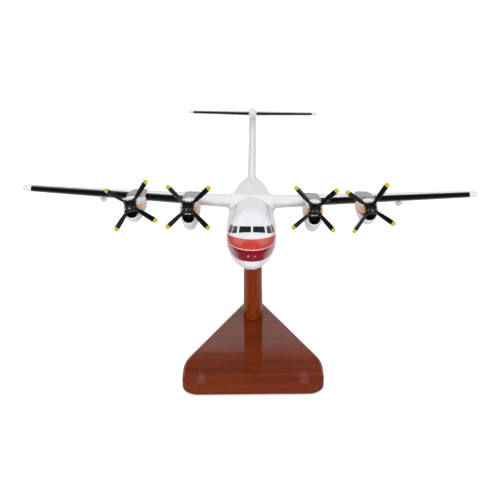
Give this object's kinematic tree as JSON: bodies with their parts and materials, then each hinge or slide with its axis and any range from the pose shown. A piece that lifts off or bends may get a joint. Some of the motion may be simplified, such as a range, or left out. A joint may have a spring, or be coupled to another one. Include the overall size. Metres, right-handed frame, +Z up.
{
  "type": "desk model aeroplane",
  "caption": "Carved wooden display model of a high-wing T-tail propeller airliner with free-spinning propellers, on a round post and a rounded triangular mahogany base.",
  "frame": {"origin": "centre of the underside of the stand's felt pad, on the desk", "axes": "+Z up off the desk; the aeroplane's nose points to -Y, raised 15 degrees; +X towards its port wing tip, which carries the red lamp"},
  "size_m": [0.5307, 0.471, 0.2106],
  "materials": {
    "white_lacquer": "high-gloss white lacquer with coloured bands over carved wood",
    "stand_mahogany": "stained mahogany under thick gloss lacquer",
    "black_lacquer": "gloss black lacquer, yellow at the blade tips",
    "silver_paint": "metallic silver lacquer over carved wood",
    "dowel_wood": "bare turned hardwood",
    "steel": "bright drawn steel",
    "brass": "turned brass",
    "felt": "dark green felt",
    "red_lens": "gloss red",
    "green_lens": "gloss grey-green"
  },
  "bodies": {
    "model": {"base_screw": "steel", "exhaust_duct_port_inboard": "silver_paint", "exhaust_duct_port_outboard": "silver_paint", "exhaust_duct_starboard_inboard": "silver_paint", "exhaust_duct_starboard_outboard": "silver_paint", "felt_pad": "felt", "fin": "white_lacquer", "fin_dowel": "dowel_wood", "fin_top_dowel": "dowel_wood", "flap_fairing_port": "white_lacquer", "flap_fairing_starboard": "white_lacquer", "fuselage": "white_lacquer", "nacelle_port_inboard": "white_lacquer", "nacelle_port_outboard": "white_lacquer", "nacelle_starboard_inboard": "white_lacquer", "nacelle_starboard_outboard": "white_lacquer", "nav_light_port": "red_lens", "nav_light_starboard": "green_lens", "post_peg": "dowel_wood", "prop_bush_port_inboard": "brass", "prop_bush_port_outboard": "brass", "prop_bush_starboard_inboard": "brass", "prop_bush_starboard_outboard": "brass", "prop_pin_port_inboard": "steel", "prop_pin_port_outboard": "steel", "prop_pin_starboard_inboard": "steel", "prop_pin_starboard_outboard": "steel", "stand_base": "stand_mahogany", "stand_post": "stand_mahogany", "tail_bullet": "white_lacquer", "tailplane_dowel": "dowel_wood", "tailplane_port": "white_lacquer", "tailplane_starboard": "white_lacquer", "wing_centre_section": "white_lacquer", "wing_dowel_port": "dowel_wood", "wing_dowel_starboard": "dowel_wood", "wing_port": "white_lacquer", "wing_starboard": "white_lacquer"},
    "propeller_starboard_outboard": {"prop_hub_starboard_outboard": "black_lacquer", "blade_starboard_outboard_1": "black_lacquer", "blade_starboard_outboard_2": "black_lacquer", "blade_starboard_outboard_3": "black_lacquer", "blade_starboard_outboard_4": "black_lacquer"},
    "propeller_starboard_inboard": {"prop_hub_starboard_inboard": "black_lacquer", "blade_starboard_inboard_1": "black_lacquer", "blade_starboard_inboard_2": "black_lacquer", "blade_starboard_inboard_3": "black_lacquer", "blade_starboard_inboard_4": "black_lacquer"},
    "propeller_port_inboard": {"prop_hub_port_inboard": "black_lacquer", "blade_port_inboard_1": "black_lacquer", "blade_port_inboard_2": "black_lacquer", "blade_port_inboard_3": "black_lacquer", "blade_port_inboard_4": "black_lacquer"},
    "propeller_port_outboard": {"prop_hub_port_outboard": "black_lacquer", "blade_port_outboard_1": "black_lacquer", "blade_port_outboard_2": "black_lacquer", "blade_port_outboard_3": "black_lacquer", "blade_port_outboard_4": "black_lacquer"}
  },
  "joints": [
    {"name": "spin_starboard_outboard", "type": "hinge", "parent": "model", "child": "propeller_starboard_outboard", "pos_m": [-0.12959, -0.00286, 0.18368], "axis": [0, -0.9659, 0.2588], "continuous": true},
    {"name": "spin_starboard_inboard", "type": "hinge", "parent": "model", "child": "propeller_starboard_inboard", "pos_m": [-0.0683, -0.00918, 0.18405], "axis": [0, -0.9659, 0.2588], "continuous": true},
    {"name": "spin_port_inboard", "type": "hinge", "parent": "model", "child": "propeller_port_inboard", "pos_m": [0.06668, -0.00979, 0.18178], "axis": [0, -0.9659, 0.2588], "continuous": true},
    {"name": "spin_port_outboard", "type": "hinge", "parent": "model", "child": "propeller_port_outboard", "pos_m": [0.12699, -0.00381, 0.18012], "axis": [0, -0.9659, 0.2588], "continuous": true}
  ]
}
